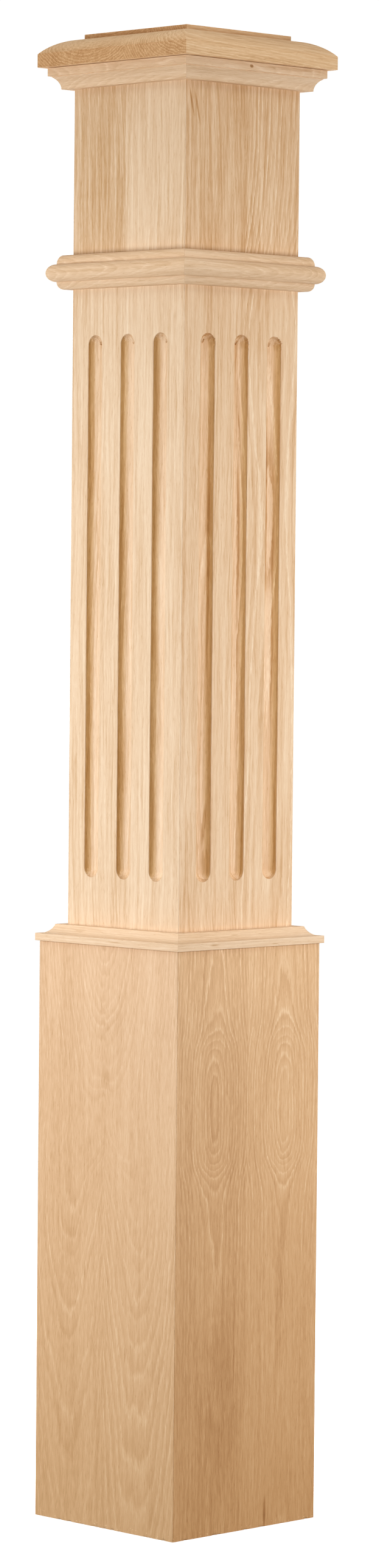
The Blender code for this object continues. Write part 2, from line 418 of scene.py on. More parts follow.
@dataclass(frozen=True)
class Stave:
    """One of the planks that a wide board is glued up from, with the way its growth rings run.

    Ring distance = p + sqrt((t - p)^2 + (depth + h)^2). Here t is the distance across from the stave's
    origin, p is the pith's place across, and h is how far the pith lies beyond the surface. Both p and h
    change along the grain.

    Attributes:
        start: Place across where the stave begins.
        origin: Place across that t is measured from.
        facing: 1 if t grows with the place across, -1 if it falls.
        pith: Pith's place, as t, along the grain.
        beyond: How far beyond the surface the pith lies, along the grain.
        ring: Width of a growth ring.
        contrast: Strength of the rings, along the grain.
        tone: How much lighter than its neighbours the stave is, along the grain.
        seed: Number that makes its noise its own.
    """

    start: float
    origin: float
    facing: int
    pith: Course
    beyond: Course
    ring: float = 0.004
    contrast: Course = ((-2.0, 1.0), (2.0, 1.0))
    tone: Course = ((-2.0, 0.0), (2.0, 0.0))
    seed: float = 1.0


@dataclass(frozen=True)
class Mark:
    """A darker streak, knot or stain: an ellipse with soft edges.

    Attributes:
        across: Its middle across the grain.
        along: Its middle along the grain.
        half_width: Half its width.
        half_length: Half its length.
        strength: How dark it is, from 0 to 1.
        lean: How far across it goes for each metre along.
    """

    across: float
    along: float
    half_width: float
    half_length: float
    strength: float
    lean: float = 0.0


@dataclass(frozen=True)
class Palette:
    """Colours of bare oak, linear, from the pores to the palest wood.

    Attributes:
        pore: In open pores and knots.
        early: In the porous wood that starts each ring.
        middle: The board's usual colour.
        pale: The palest wood.
    """

    pore: Triple
    early: Triple
    middle: Triple
    pale: Triple


@dataclass(frozen=True)
class Oak:
    """Bare, planed and sanded oak on one piece.

    Attributes:
        name: Name of the finish.
        side: Side whose directions the grain follows.
        grain: Which way it runs.
        surface: Distance out, or height for a piece laid flat, that depth is measured from.
        palette: Its colours.
        staves: Planks it is glued from, in order across.
        marks: Streaks and knots.
        figure: How far the rings wander, in metres.
        sheen: Roughness of the sanded surface.
        fibres: Strength of the fine fibres.
        strands: Strength of the coarser ones.
        streaking: Strength of the long streaks along the grain.
        cut_figure: How dark the rings' lines are where a flute cuts deep into the board.
        wall_shade: How much darker the steep walls of a flute are made, as painted shade inside the flute.
        wall_shade_tint: Colour of that painted shade, which those walls are multiplied by.
        end_tone: How much darker the end grain is.
        scuffs: How pale the small scuffs along the board's foot are.
        foot_tone_and_shade: Colour that the board's foot is multiplied by: partly the wood's own colour,
            partly painted shade where the light falls off towards the floor.
        foot: Heights of the board's foot and top, between which that colour and painted shade fade out.
    """

    name: str
    side: Side
    grain: Grain
    surface: float
    palette: Palette
    staves: tuple[Stave, ...]
    marks: tuple[Mark, ...] = ()
    figure: float = 0.003
    sheen: float = 0.56
    fibres: float = 0.44
    strands: float = 0.24
    streaking: float = 0.38
    cut_figure: float = 0.1
    wall_shade: float = 0.0
    wall_shade_tint: Triple = (1.0, 0.93, 0.68)
    end_tone: float = 0.25
    scuffs: float = 0.0
    foot_tone_and_shade: Optional[Triple] = None
    foot: Pair = (0.0, 1.0)

    def _place(self, sheet: NodeSheet) -> tuple[Plug, Plug, Plug]:
        """Places across the grain, below the surface and along the grain, from Object coordinates."""
        where = sheet.node("ShaderNodeTexCoord")
        turned = sheet.node("ShaderNodeMapping")
        turned.inputs["Rotation"].default_value[2] = 0.0 if self.grain is Grain.THROUGH else -self.side.turn
        sheet.feed(turned.inputs["Vector"], where.outputs["Object"])
        parts = sheet.node("ShaderNodeSeparateXYZ")
        sheet.feed(parts.inputs[0], turned.outputs[0])
        out, across, up = parts.outputs
        if self.grain is Grain.UPWARD:
            return across, sheet.less(self.surface, out), up
        if self.grain is Grain.SIDEWAYS:
            return up, sheet.less(self.surface, out), across
        return out, sheet.less(self.surface, up), across

    def _rings(self, sheet: NodeSheet, across: Socket, depth: Socket, along: Socket,
               place: Plug) -> tuple[Socket, Socket, Socket]:
        """Ring count, contrast and tone, chosen stave by stave.

        Args:
            sheet: The material's nodes.
            across: Place across the grain.
            depth: Depth under the surface.
            along: Place along the grain.
            place: The three as a vector.

        Returns:
            Distance through the rings in rings, the contrast of the rings, and the stave's tone.
        """
        chosen: tuple[Socket, ...] = ()
        for number, stave in enumerate(self.staves):
            t = sheet.times(sheet.less(across, stave.origin), float(stave.facing))
            pith = sheet.course(along, stave.pith)
            beyond = sheet.math("ADD", depth, sheet.course(along, stave.beyond))
            side_step = sheet.less(t, pith)
            squares = sheet.plus(sheet.times(beyond, beyond), (side_step, side_step))
            distance = sheet.math("ADD", pith, sheet.math("SQRT", squares))
            sway = sheet.noise(place, SWAY_CELL, stave.seed, 1.0)
            ripple = sheet.noise(place, RIPPLE_CELL, stave.seed + 4.0, 1.0)
            feather = sheet.noise(place, FEATHER_CELL, stave.seed + 5.0, 1.0)
            distance = sheet.plus(distance, (sway, 2 * self.figure), (ripple, 0.55 * self.figure),
                                  (feather, 0.45 * stave.ring))
            own = (sheet.plus(40.0 + 9.0 * number, (distance, 1.0 / stave.ring)),
                   sheet.course(along, stave.contrast), sheet.course(along, stave.tone))
            if number == 0:
                chosen = own
                continue
            here = sheet.math("GREATER_THAN", across, stave.start)
            chosen = tuple(sheet.blend(here, former, latter) for former, latter in zip(chosen, own))
        return chosen

    def _marked(self, sheet: NodeSheet, across: Socket, along: Socket, place: Plug) -> Socket:
        """Darkness of the streaks and knots at a place: the strongest of them, frayed along the grain."""
        total: Socket = 0.0
        if not self.marks:
            return total
        fray = sheet.noise(place, FRAY_CELL, 9.0)
        for mark in self.marks:
            up = sheet.less(along, mark.along)
            side_step = sheet.plus(sheet.less(across, mark.across), (up, -mark.lean))
            x = sheet.math("DIVIDE", side_step, mark.half_width)
            y = sheet.math("DIVIDE", up, mark.half_length)
            reach = sheet.plus(sheet.math("SQRT", sheet.plus(sheet.times(y, y), (x, x))), (fray, 0.7))
            total = sheet.math("MAXIMUM", total, sheet.ramp(reach, 0.7, 1.35, mark.strength, 0.0))
        return total

    def material(self) -> bpy.types.Material:
        """Draw the finish: rings, fibre, pores, rays, streaks and end grain, for colour, roughness and bump.

        Returns:
            The material.
        """
        sheet = NodeSheet(self.name)
        across, depth, along = self._place(sheet)
        place = sheet.vector(across, depth, along)
        seed = self.staves[0].seed
        rings, contrast, tone = self._rings(sheet, across, depth, along, place)

        share = sheet.math("FRACT", rings)
        ring = sheet.node("ShaderNodeTexWhiteNoise", noise_dimensions="1D")
        sheet.feed(ring.inputs["W"], sheet.math("FLOOR", rings))
        vigour = sheet.times(sheet.ramp(ring.outputs["Value"], 0.0, 1.0, 0.2, 1.0, smooth=False), contrast)
        pale_line = sheet.times(sheet.ramp(share, 0.0, 0.12), sheet.ramp(share, 0.14, 0.36, 1.0, 0.0))
        dark_line = sheet.times(sheet.ramp(share, 0.4, 0.9), sheet.ramp(share, 0.93, 1.0, 1.0, 0.0))
        bend = sheet.noise(place, BEND_CELL, seed + 10.0, 1.0)
        curl = sheet.noise(place, CURL_CELL, seed + 11.0, 1.0)
        fibres = sheet.vector(sheet.plus(across, (bend, 0.005), (curl, 0.0009)), depth, along)
        fibre = sheet.noise(fibres, FIBRE_CELL, seed + 1.0, 3.0)
        strand = sheet.noise(fibres, STRAND_CELL, seed + 8.0)
        broken = sheet.ramp(fibre, 0.3, 0.62, 0.45, 1.25)
        early = sheet.times(sheet.times(pale_line, vigour), broken)
        late = sheet.times(sheet.times(dark_line, vigour), broken)

        streak = sheet.noise(fibres, STREAK_CELL, seed + 2.0)
        drift = sheet.noise(place, DRIFT_CELL, seed + 3.0, 1.0)
        pores = sheet.dashes(fibres, PORE_CELL, seed + 5.0, sheet.plus(0.1, (early, 0.22)))
        flecks = sheet.dashes(fibres, FLECK_CELL, seed + 6.0, 0.075, 0.09)
        ends = sheet.ramp(sheet.steepness(self._axis()), 0.5, 0.85)
        cut = sheet.ramp(depth, 0.0008, 0.006, -0.10, -self.cut_figure)
        noises = self.fibres + self.strands + self.streaking + DRIFT
        value = sheet.plus(
            MIDDLE_STOP - noises / 2, (early, 0.13), (late, cut), (fibre, self.fibres),
            (strand, self.strands), (streak, self.streaking), (drift, DRIFT), (tone, 1.0),
            (ends, -self.end_tone),
            (self._marked(sheet, across, along, place), -1.0), (pores, sheet.plus(-0.04, (early, 0.14))),
            (flecks, -0.13))
        # Painted shade: the steep walls of the flutes are made darker, standing in for the shade that falls
        # inside them
        if self.wall_shade:
            steep = sheet.ramp(sheet.steepness(self._across()), 0.45, 0.95)
            wall = sheet.times(steep, sheet.ramp(depth, 0.0002, 0.0012))
            value = sheet.plus(value, (wall, -self.wall_shade))
        if self.scuffs:
            spots = sheet.dashes(place, SCUFF_CELL, seed + 9.0, 0.13, 0.09)
            low = sheet.ramp(along, self.foot[0] + 0.0012, self.foot[0] + 0.0085, 1.0, 0.0)
            value = sheet.plus(value, (sheet.times(spots, low), self.scuffs))

        colours = sheet.node("ShaderNodeValToRGB")
        colours.color_ramp.interpolation = "LINEAR"
        stops = colours.color_ramp.elements
        stops[0].position, stops[1].position = 0.0, 1.0
        stops[0].color, stops[1].color = (*self.palette.pore, 1.0), (*self.palette.pale, 1.0)
        for where, colour in ((EARLY_STOP, self.palette.early), (MIDDLE_STOP, self.palette.middle)):
            stops.new(where).color = (*colour, 1.0)
        sheet.feed(colours.inputs["Fac"], value)
        colour = colours.outputs["Color"]
        # Darker and more orange towards the board's foot: partly the wood's own colour, partly painted shade
        # where the light falls off towards the floor
        if self.foot_tone_and_shade:
            low = sheet.ramp(along, *self.foot, 1.0, 0.0, smooth=False)
            colour = sheet.tint(low, colour, self.foot_tone_and_shade)
        # The flutes' steep walls also take the colour of their painted shade
        if self.wall_shade:
            colour = sheet.tint(wall, colour, self.wall_shade_tint)
        sheet.feed(sheet.shader.inputs["Base Color"], colour)

        grit = sheet.noise(place, GRIT_CELL, seed + 7.0)
        rough = sheet.plus(self.sheen - 0.07, (grit, 0.14), (pores, 0.16), (ends, 0.12))
        sheet.feed(sheet.shader.inputs["Roughness"], rough)
        sheet.shader.inputs["Specular IOR Level"].default_value = 0.32

        height = sheet.plus(0.0, (pores, -0.7), (fibre, 0.5), (flecks, -0.6))
        relief = sheet.node("ShaderNodeBump")
        relief.inputs["Strength"].default_value = 0.4
        relief.inputs["Distance"].default_value = 0.00016
        sheet.feed(relief.inputs["Height"], height)
        sheet.feed(sheet.shader.inputs["Normal"], relief.outputs["Normal"])
        return sheet.material

    def _axis(self) -> Triple:
        """Direction of the grain in the post's frame."""
        if self.grain is Grain.UPWARD:
            return (0.0, 0.0, 1.0)
        if self.grain is Grain.THROUGH:
            return (0.0, 1.0, 0.0)
        return self._across()

    def _across(self) -> Triple:
        """Direction across the side, in the post's frame."""
        return (-math.sin(self.side.turn), math.cos(self.side.turn), 0.0)


SHAFT_OAK = Palette((0.38, 0.185, 0.065), (0.60, 0.365, 0.178), (0.79, 0.578, 0.382), (0.95, 0.785, 0.592))
RIGHT_SHAFT_OAK = Palette((0.40, 0.185, 0.06), (0.60, 0.335, 0.145), (0.795, 0.55, 0.34), (0.95, 0.75, 0.54))
FRONT_BASE_OAK = Palette((0.30, 0.14, 0.048), (0.55, 0.32, 0.15), (0.745, 0.495, 0.30), (0.92, 0.69, 0.48))
RIGHT_BASE_OAK = Palette((0.28, 0.12, 0.038), (0.52, 0.28, 0.12), (0.735, 0.465, 0.25), (0.92, 0.67, 0.43))
TRIM_OAK = Palette((0.34, 0.16, 0.058), (0.58, 0.35, 0.175), (0.78, 0.55, 0.35), (0.935, 0.74, 0.55))
CAP_OAK = Palette((0.30, 0.13, 0.04), (0.54, 0.29, 0.12), (0.775, 0.505, 0.275), (0.93, 0.70, 0.46))


def flat(value: float) -> Course:
    """Course that keeps one value all the way."""
    return ((-2.0, value), (2.0, value))


@dataclass
class Trim:
    """A moulding that goes round the post in four mitred lengths.

    Each length is the section carried along its side: point (s, j) lies d_j out, s times (d_j less the
    mitre's gap) across and z_j up, for s from -1 to 1, so both ends are cut at 45 degrees.

    Attributes:
        piece: Name of the CAD nodes without the side.
        slot: The record's material slot.
        ease: Rounding of the crisp edges.
        columns: Pieces that a length is cut into.
    """

    piece: str
    slot: str
    ease: float = 0.0004
    columns: int = 96

    def __post_init__(self) -> None:
        """Read the moulding's reach and heights from the frame."""
        low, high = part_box(node_name(self.piece, Side.RIGHT))
        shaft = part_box(node_name("shaft_board", Side.RIGHT))[1]
        self.inner = shaft[0] + JOINT_GAP
        self.outer, self.bottom, self.top = high[0], low[2], high[2]

    def section(self) -> Points:
        """Outline of the moulding, as distance out and height."""
        raise NotImplementedError

    def staves(self, side: Side) -> tuple[Stave, ...]:
        """Growth rings of one length: nearly flat, with the pith far below."""
        seed = 20.0 + 3.0 * side.value
        pith = ((-0.11, -0.012), (0.0, 0.004 * (side.value - 1.5)), (0.11, 0.014))
        middle = (self.bottom + self.top) / 2
        return (Stave(0.0, middle, 1, pith, flat(0.045), 0.0024, flat(0.9), flat(0.0), seed),)

    def marks(self, side: Side) -> tuple[Mark, ...]:
        """Streaks and knots of one length."""
        return ()

    def finish(self, side: Side) -> Oak:
        """Oak of one length, its grain along the side."""
        return Oak(node_name(self.piece, side) + "_oak", side, Grain.SIDEWAYS, self.outer, TRIM_OAK,
                   self.staves(side), self.marks(side), figure=0.0022)

    def build(self) -> None:
        """Make and dress the four lengths."""
        outline = self.section()
        out, up = np.append(outline, outline[:1], axis=0).T
        share = np.linspace(-1.0, 1.0, self.columns + 1)
        across = share[:, None] * (out[None, :] - MITRE_GAP)
        for side in Side:
            points = side.place(out, across, up)
            shell = Shell(node_name(self.piece, side) + "_oak")
            shell.patch(points)
            shell.cap(points[0, :-1])
            shell.cap(points[-1, :-1])
            shell.make(self.finish(side).material(), self.slot, node_name(self.piece, side))


@dataclass
class BaseTrim(Trim):
    """Square fillet with a cove above it that runs in to the shaft, on top of the base.

    Attributes:
        fillet_height: Height of the square fillet.
        fillet_land: Width of its top.
        top_edge: Height of the upright edge above the cove.
        top_flat: Width of the flat beside the shaft.
    """

    fillet_height: float = 0.0071
    fillet_land: float = 0.0032
    top_edge: float = 0.0005
    top_flat: float = 0.0083

    def section(self) -> Points:
        """Outline from the shaft out along the bottom, up the fillet and in along the cove."""
        fillet_top = self.bottom + self.fillet_height
        land = (self.outer - self.fillet_land, fillet_top)
        cove = arc_points(land, (self.inner + self.top_flat, self.top - self.top_edge), -90, -152, 12)
        corners = np.array([(self.inner, self.bottom), (self.outer, self.bottom), (self.outer, fillet_top),
                            *cove, (cove[-1][0], self.top), (self.inner, self.top)])
        radii = np.zeros(len(corners))
        radii[[1, 2, -2]] = self.ease
        return eased_outline(corners, radii)

    def staves(self, side: Side) -> tuple[Stave, ...]:
        """Rings that cross the front length at a slant and lie flat on the others."""
        pith = ((-0.1, -0.055), (0.1, -0.035)) if side is Side.FRONT else ((-0.1, -0.05), (0.1, -0.04))
        seed = 31.0 + side.value
        return (Stave(0.0, self.bottom, 1, pith, flat(0.03), 0.0026, flat(0.9), flat(0.05), seed),)

    def marks(self, side: Side) -> tuple[Mark, ...]:
        """Small brown patches on the two lengths that the light shows best."""
        low = self.bottom + 0.6 * self.fillet_height
        if side is Side.RIGHT:
            return (Mark(low, -0.05, 0.0011, 0.009, 0.3, 0.03),
                    Mark(low - 0.002, 0.031, 0.0007, 0.006, 0.22),
                    Mark(self.top - 0.004, -0.012, 0.0009, 0.007, 0.18))
        if side is Side.FRONT:
            return (Mark(low, 0.012, 0.0008, 0.011, 0.2),
                    Mark(self.top - 0.005, -0.048, 0.0009, 0.009, 0.16))
        return ()


@dataclass
class Band(Trim):
    """Half-round bead between two smaller quarter rounds, round the neck.

    Attributes:
        ovolo_reach: How far the quarter rounds stand out from the shaft.
        ovolo_flat: Width of the flat edge beside the shaft.
        lower_height: Height of the lower quarter round.
        upper_height: Height of the upper one.
    """

    ovolo_reach: float = 0.011
    ovolo_flat: float = 0.006
    lower_height: float = 0.0072
    upper_height: float = 0.0087

    def section(self) -> Points:
        """Outline from the shaft out along the bottom, up over the three rounds and back."""
        flat_out, ovolo = self.inner + self.ovolo_flat, self.inner + self.ovolo_reach
        bead_bottom, bead_top = self.bottom + self.lower_height, self.top - self.upper_height
        middle = (bead_bottom + bead_top) / 2
        lower = arc_points((flat_out, self.bottom), (ovolo, bead_bottom), -90, 0, 8)
        bead_low = arc_points((ovolo, bead_bottom), (self.outer, middle), -90, 0, 9)
        bead_high = arc_points((self.outer, middle), (ovolo, bead_top), 0, 90, 9)
        upper = arc_points((ovolo, bead_top), (flat_out, self.top), 0, 90, 8)
        rounds = np.concatenate([lower, bead_low[1:], bead_high[1:], upper[1:]])
        corners = np.array([(self.inner, self.bottom), *rounds, (self.inner, self.top)])
        return eased_outline(corners, np.zeros(len(corners)))


@dataclass
class CapTrim(Trim):
    """Square fascia with a fillet and a cove below it, under the cap.

    Attributes:
        fascia_height: Height of the upright face.
        fillet_land: Width of the step in under it.
        fillet_drop: Height of that step.
        foot_reach: How far the cove's foot stands out from the shaft.
    """

    fascia_height: float = 0.0079
    fillet_land: float = 0.0027
    fillet_drop: float = 0.0008
    foot_reach: float = 0.0088

    def section(self) -> Points:
        """Outline from the shaft out along the foot, up the cove, out under the fascia, up it and back."""
        fascia_bottom = self.top - self.fascia_height
        foot = (self.inner + self.foot_reach, self.bottom)
        land = (self.outer - self.fillet_land, fascia_bottom - self.fillet_drop)
        cove = arc_points(foot, land, 180, 118, 12)
        corners = np.array([(self.inner, self.bottom), *cove, (cove[-1][0], fascia_bottom),
                            (self.outer, fascia_bottom), (self.outer, self.top), (self.inner, self.top)])
        radii = np.zeros(len(corners))
        radii[[1, -3, -2]] = self.ease
        return eased_outline(corners, radii)

    def marks(self, side: Side) -> tuple[Mark, ...]:
        """Pin knot and brown streaks of the right length."""
        if side is not Side.RIGHT:
            return ()
        height = self.top - 0.5 * self.fascia_height
        return (Mark(height, -0.008, 0.0022, 0.003, 0.55),
                Mark(height + 0.001, 0.045, 0.0022, 0.05, 0.16, 0.02))


@dataclass
class Board:
    """A wide board on each side, mitred at the post's corners.

    Attributes:
        piece: Name of the CAD nodes without the side.
        slot: The record's material slot.
        ease: Radius of the post's corners.
    """

    piece: str
    slot: str
    ease: float = 0.0006

    def __post_init__(self) -> None:
        """Read the board's faces and heights from the frame."""
        low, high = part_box(node_name(self.piece, Side.RIGHT))
        self.inner, self.half, self.bottom, self.top = low[0], high[0], low[2], high[2]

    def edge_loop(self, start: float) -> tuple[Points, Points]:
        """Section of the board from its face at +start round the back to its face at -start.

        The post's corner is an arc about a point its radius in from both faces, which the mitre cuts at 45
        degrees.

        Args:
            start: Place across where the face ends and the loop begins.

        Returns:
            Distances out and places across.
        """
        angle = np.radians(np.linspace(0.0, 45.0, 5))
        arc_out = self.half - self.ease + self.ease * np.cos(angle)
        arc_across = self.half - self.ease + self.ease * np.sin(angle) - MITRE_GAP
        guard = self.half - self.ease - 0.0004
        out = np.concatenate([[self.half, self.half], arc_out, [self.inner]])
        across = np.concatenate([[start, guard], arc_across, [self.inner - MITRE_GAP]])
        return np.append(out, out[::-1]), np.append(across, -across[::-1])

    def strip(self, shell: Shell, side: Side, start: float, heights: Points) -> None:
        """Add the edges, mitres and inner side of a board, up all the given heights."""
        out, across = self.edge_loop(start)
        shell.patch(side.place(out[None, :], across[None, :], heights[:, None]))

    def end(self, shell: Shell, side: Side, face: tuple[Points, Points], start: float,
            height: float) -> None:
        """Close one end of a board.

        Args:
            shell: The board's shell.
            side: Its side.
            face: Distances out and places across of the face's own points, from -start to +start.
            start: Place across where the face ends.
            height: Height of the end.
        """
        out, across = self.edge_loop(start)
        ring_out = np.concatenate([face[0], out[1:-1]])
        ring_across = np.concatenate([face[1], across[1:-1]])
        shell.cap(side.place(ring_out, ring_across, height))


@dataclass
class Shaft(Board):
    """The shaft's boards, with round-nosed flutes that stop short of both ends.

    A flute's depth at a distance r from its middle line, or from the middle of its round end, is
    sqrt(R^2 - r^2) - (R - depth), where R is the cutter's radius.

    Attributes:
        flute_width: Width of a flute.
        flute_depth: Depth of its middle.
        flute_pitch: Distance between flutes' middles.
        flute_bottom: Height where a flute starts.
        flute_top: Height where it stops.
        arris: Rounding of a flute's edge.
    """

    flute_width: float = 0.01905
    flute_depth: float = 0.008
    flute_pitch: float = 0.044425
    flute_bottom: float = 0.6183
    flute_top: float = 1.13535
    arris: float = 0.0004

    def outline(self) -> tuple[Points, Points, Points]:
        """Directions and centres round a flute: half circle, side, half circle, side.

        Returns:
            Across and up parts of each direction, and the height of the centre it starts from.
        """
        high = self.flute_top - self.flute_width / 2
        low = self.flute_bottom + self.flute_width / 2
        near = np.array([0.0, 0.0008, 0.0016, 0.0026, 0.0038, 0.0052, 0.007, 0.0095, 0.013, 0.018])
        side = np.concatenate([high - near, np.linspace(high - 0.03, low + 0.03, 26), low + near[::-1]])
        turn = np.linspace(0.0, np.pi, 41)
        straight = np.zeros(len(side) - 2)
        across = np.concatenate([np.cos(turn), straight - 1.0, -np.cos(turn), straight + 1.0, [1.0]])
        up = np.concatenate([np.sin(turn), straight, -np.sin(turn), straight, [0.0]])
        arc = np.zeros(len(turn))
        centre = np.concatenate([arc + high, side[1:-1], arc + low, side[-2:0:-1], [high]])
        return across, up, centre

    def rings(self) -> tuple[Points, Points]:
        """Distances from a flute's middle and depths, from its guard ring on the face to its middle."""
        radius = ((self.flute_width / 2) ** 2 + self.flute_depth**2) / (2 * self.flute_depth)
        lip = radius - self.flute_depth
        edge = self.flute_width / 2
        wall = math.acos((self.arris + lip) / radius)
        share = np.linspace(0.0, 1.0, 6)
        bend = 2 * share * (1 - share) * edge
        arris = (1 - share) ** 2 * (edge + self.arris) + bend + share**2 * radius * math.sin(wall)
        arris_depth = share**2 * self.arris
        angle = np.linspace(wall, 0.0, 12)[1:]
        reach = np.concatenate([[edge + self.arris + 0.0003], arris, radius * np.sin(angle)])
        depth = np.concatenate([[0.0], arris_depth, radius * np.cos(angle) - lip])
        return reach, depth

    def torn(self, side: Side, flute: int, reach: Points, depth: Points) -> tuple[Points, Points]:
        """Grain torn out of a flute's upper shoulder, where the cutter left the wood ragged.

        Each ring is pushed outwards by a seeded ragged row, strongest at the edge and fading down the wall.

        Args:
            side: Side of the post.
            flute: Number of the flute, from the left.
            reach: Distances from the middle, one row to a ring and one column to a direction.
            depth: Depths of the same points.

        Returns:
            The two arrays with the tears.
        """
        across, up, centre = self.outline()
        high = self.flute_top - self.flute_width / 2
        ragged = np.random.default_rng(100 * side.value + flute)
        on_nose = up > 0
        round_nose = np.arctan2(up, across) * self.flute_width / 2
        along = np.where(on_nose, round_nose, centre - high)
        shoulder = bump_row(along, 0.004, 0.0125) * (across > 0.05)
        ends = bump_row(along, 0.015, 0.017) * on_nose
        amount = {Side.RIGHT: (0.0009, 0.0011, 0.0013)[flute % 3]}.get(side, 0.0001)
        tear = np.clip(ragged.normal(0.35, 0.55, along.size), 0.0, 1.3) * shoulder * amount
        fuzz = ragged.normal(0.0, 0.00006, along.size) * ends
        fade = np.exp(-((depth / 0.0026) ** 2))
        crumbs = ragged.normal(0.0, 0.00022, reach.shape) * ends * (depth > 0.0005) * (reach > 0.001)
        reach = np.maximum(reach + (tear + fuzz)[None, :] * fade, 0.0)
        return reach, np.clip(depth + crumbs, 0.0, None)

    def flute(self, shell: Shell, side: Side, number: int) -> None:
        """Add one flute and the flat round it, out to the cell's border halfway to its neighbours."""
        middle = (number - 1) * self.flute_pitch
        across, up, centre = self.outline()
        reach, depth = self.rings()
        border = self.flute_pitch / 2 / np.maximum(np.abs(across), np.abs(up))
        reach = np.broadcast_to(reach[:, None], (len(reach), len(across)))
        depth = np.broadcast_to(depth[:, None], reach.shape)
        reach, depth = self.torn(side, number, reach, depth)
        reach = np.concatenate([border[None, :], reach])
        depth = np.concatenate([np.zeros((1, len(across))), depth])
        reach[:, -1], depth[:, -1] = reach[:, 0], depth[:, 0]
        shell.patch(side.place(self.half - depth, middle + reach * across, centre + reach * up))

    def board(self, side: Side) -> Shell:
        """Shell of one fluted board."""
        shell = Shell(node_name(self.piece, side) + "_oak")
        for number in range(3):
            self.flute(shell, side, number)
        half_pitch = self.flute_pitch / 2
        high = self.flute_top - self.flute_width / 2
        low = self.flute_bottom + self.flute_width / 2
        start = self.flute_pitch * 1.5
        across, up, centre = self.outline()
        slope = np.tan(np.radians(np.arange(0.0, 45.1, 4.5))) * half_pitch
        cotangent = np.append(-slope[::-1], slope[1:])
        row = np.unique(np.round(np.concatenate([cotangent + k * self.flute_pitch for k in (-1, 0, 1)]), 8))
        sides = np.unique(np.round(centre[(up == 0) | (np.abs(up) < 1e-12)], 9))
        above = np.linspace(high + half_pitch, self.top, 8)
        below = np.linspace(self.bottom, low - half_pitch, 16)
        for heights in (above, below):
            shell.patch(side.place(self.half, row[None, :], heights[:, None]))
        heights = np.concatenate([below, (low - slope[::-1])[1:], sides[1:-1], high + slope, above[1:]])
        self.strip(shell, side, start, heights)
        face = (np.full(len(row), self.half), row)
        self.end(shell, side, face, start, self.bottom)
        self.end(shell, side, face, start, self.top)
        return shell

    def finish(self, side: Side) -> Oak:
        """Oak of one board: two staves joined at about the middle, straight grained, with brown streaks."""
        joint = {Side.FRONT: -0.0045, Side.RIGHT: 0.0034, Side.BACK: 0.004, Side.LEFT: -0.006}[side]
        seed = 2.0 + 5.0 * side.value
        band = 1.196
        calm_pith = ((0.55, 0.12), (0.8, 0.126), (1.1, 0.121), (1.4, 0.13))
        calm = flat(0.06)
        lively_pith = ((0.55, 0.036), (0.9, 0.042), (1.18, 0.04), (1.21, 0.13), (1.4, 0.138))
        lively = ((0.55, 0.05), (0.8, 0.044), (1.0, 0.05), (1.2, 0.047), (1.4, 0.06))
        fall = 0.09 if side is Side.RIGHT else 0.16
        rest = 0.06 if side is Side.RIGHT else 0.0
        darker = ((0.5, 0.0), (band - 0.004, 0.0), (band, -fall), (1.42, -fall))
        lighter = ((0.5, 0.02), (band - 0.004, 0.02), (band, -rest), (1.42, -rest - 0.03))
        left = Stave(-0.08, joint, -1, calm_pith, calm, 0.0034, flat(0.8), darker, seed)
        if side in (Side.RIGHT, Side.LEFT):
            right = Stave(joint, joint, 1, lively_pith, lively, 0.0046, flat(1.6), lighter, seed + 2.0)
        else:
            right = Stave(joint, joint, 1, calm_pith, calm, 0.004, flat(0.5), lighter, seed + 2.0)
        streaks: tuple[Mark, ...] = ()
        if side is Side.RIGHT:
            streaks = (Mark(-0.0728, 1.0, 0.0025, 0.42, 0.1), Mark(-0.044, 1.17, 0.006, 0.09, 0.12),
                       Mark(0.001, 1.17, 0.004, 0.12, 0.14), Mark(0.0235, 1.16, 0.003, 0.1, 0.12),
                       Mark(0.0045, 0.95, 0.0018, 0.17, 0.3), Mark(0.043, 0.98, 0.0022, 0.12, 0.34),
                       Mark(-0.0372, 0.93, 0.0013, 0.2, 0.3), Mark(-0.0385, 0.672, 0.0019, 0.024, 0.3, 0.06),
                       Mark(0.0505, 0.86, 0.0012, 0.16, 0.28), Mark(0.0022, 1.06, 0.0011, 0.07, 0.22, 0.01),
                       Mark(-0.069, 1.352, 0.0016, 0.017, 0.3, -0.22),
                       Mark(-0.061, 1.345, 0.0018, 0.019, 0.26, -0.24))
            nose = self.flute_top - 0.007
            streaks += tuple(Mark(middle * self.flute_pitch + 0.0072, nose, 0.0034, 0.0085, 0.16)
                             for middle in (-1, 0, 1))
        # The last value of each triple is the strength of the painted shade on the flutes' steep walls
        palette, cut, wall = (RIGHT_SHAFT_OAK, 0.21, 0.09) if side is Side.RIGHT else (SHAFT_OAK, 0.16, 0.24)
        name = node_name(self.piece, side) + "_oak"
        return Oak(name, side, Grain.UPWARD, self.half, palette, (left, right), streaks, figure=0.0022,
                   fibres=0.52, streaking=0.6, cut_figure=cut, wall_shade=wall, end_tone=0.1)

    def build(self) -> None:
        """Make and dress the four boards."""
        for side in Side:
            self.board(side).make(self.finish(side).material(), self.slot, node_name(self.piece, side))


# Growth rings of the base, as pairs of height and value: cathedral arches in front, and eyes on the right
FRONT_PITH = ((0.0, 0.044), (0.25, 0.048), (0.31, 0.044), (0.36, 0.032), (0.41, 0.014), (0.45, 0.002),
              (0.5556, -0.002))
FRONT_BEYOND = ((0.0, 0.066), (0.08, 0.056), (0.16, 0.046), (0.24, 0.034), (0.31, 0.026), (0.37, 0.03),
                (0.42, 0.044), (0.45, 0.042), (0.5, 0.03), (0.5556, 0.012))
FRONT_CONTRAST = ((0.0, 0.9), (0.28, 0.95), (0.34, 0.45), (0.42, 0.45), (0.46, 0.8), (0.5556, 0.8))
EYE_BEYOND = ((0.0, 0.026), (0.2, 0.03), (0.31, 0.028), (0.36, 0.012), (0.4, 0.006), (0.45, 0.012),
              (0.5, 0.027), (0.5556, 0.03))
EYE_CONTRAST = ((0.0, 0.8), (0.2, 0.7), (0.3, 1.35), (0.36, 1.5), (0.47, 1.45), (0.5556, 1.8))


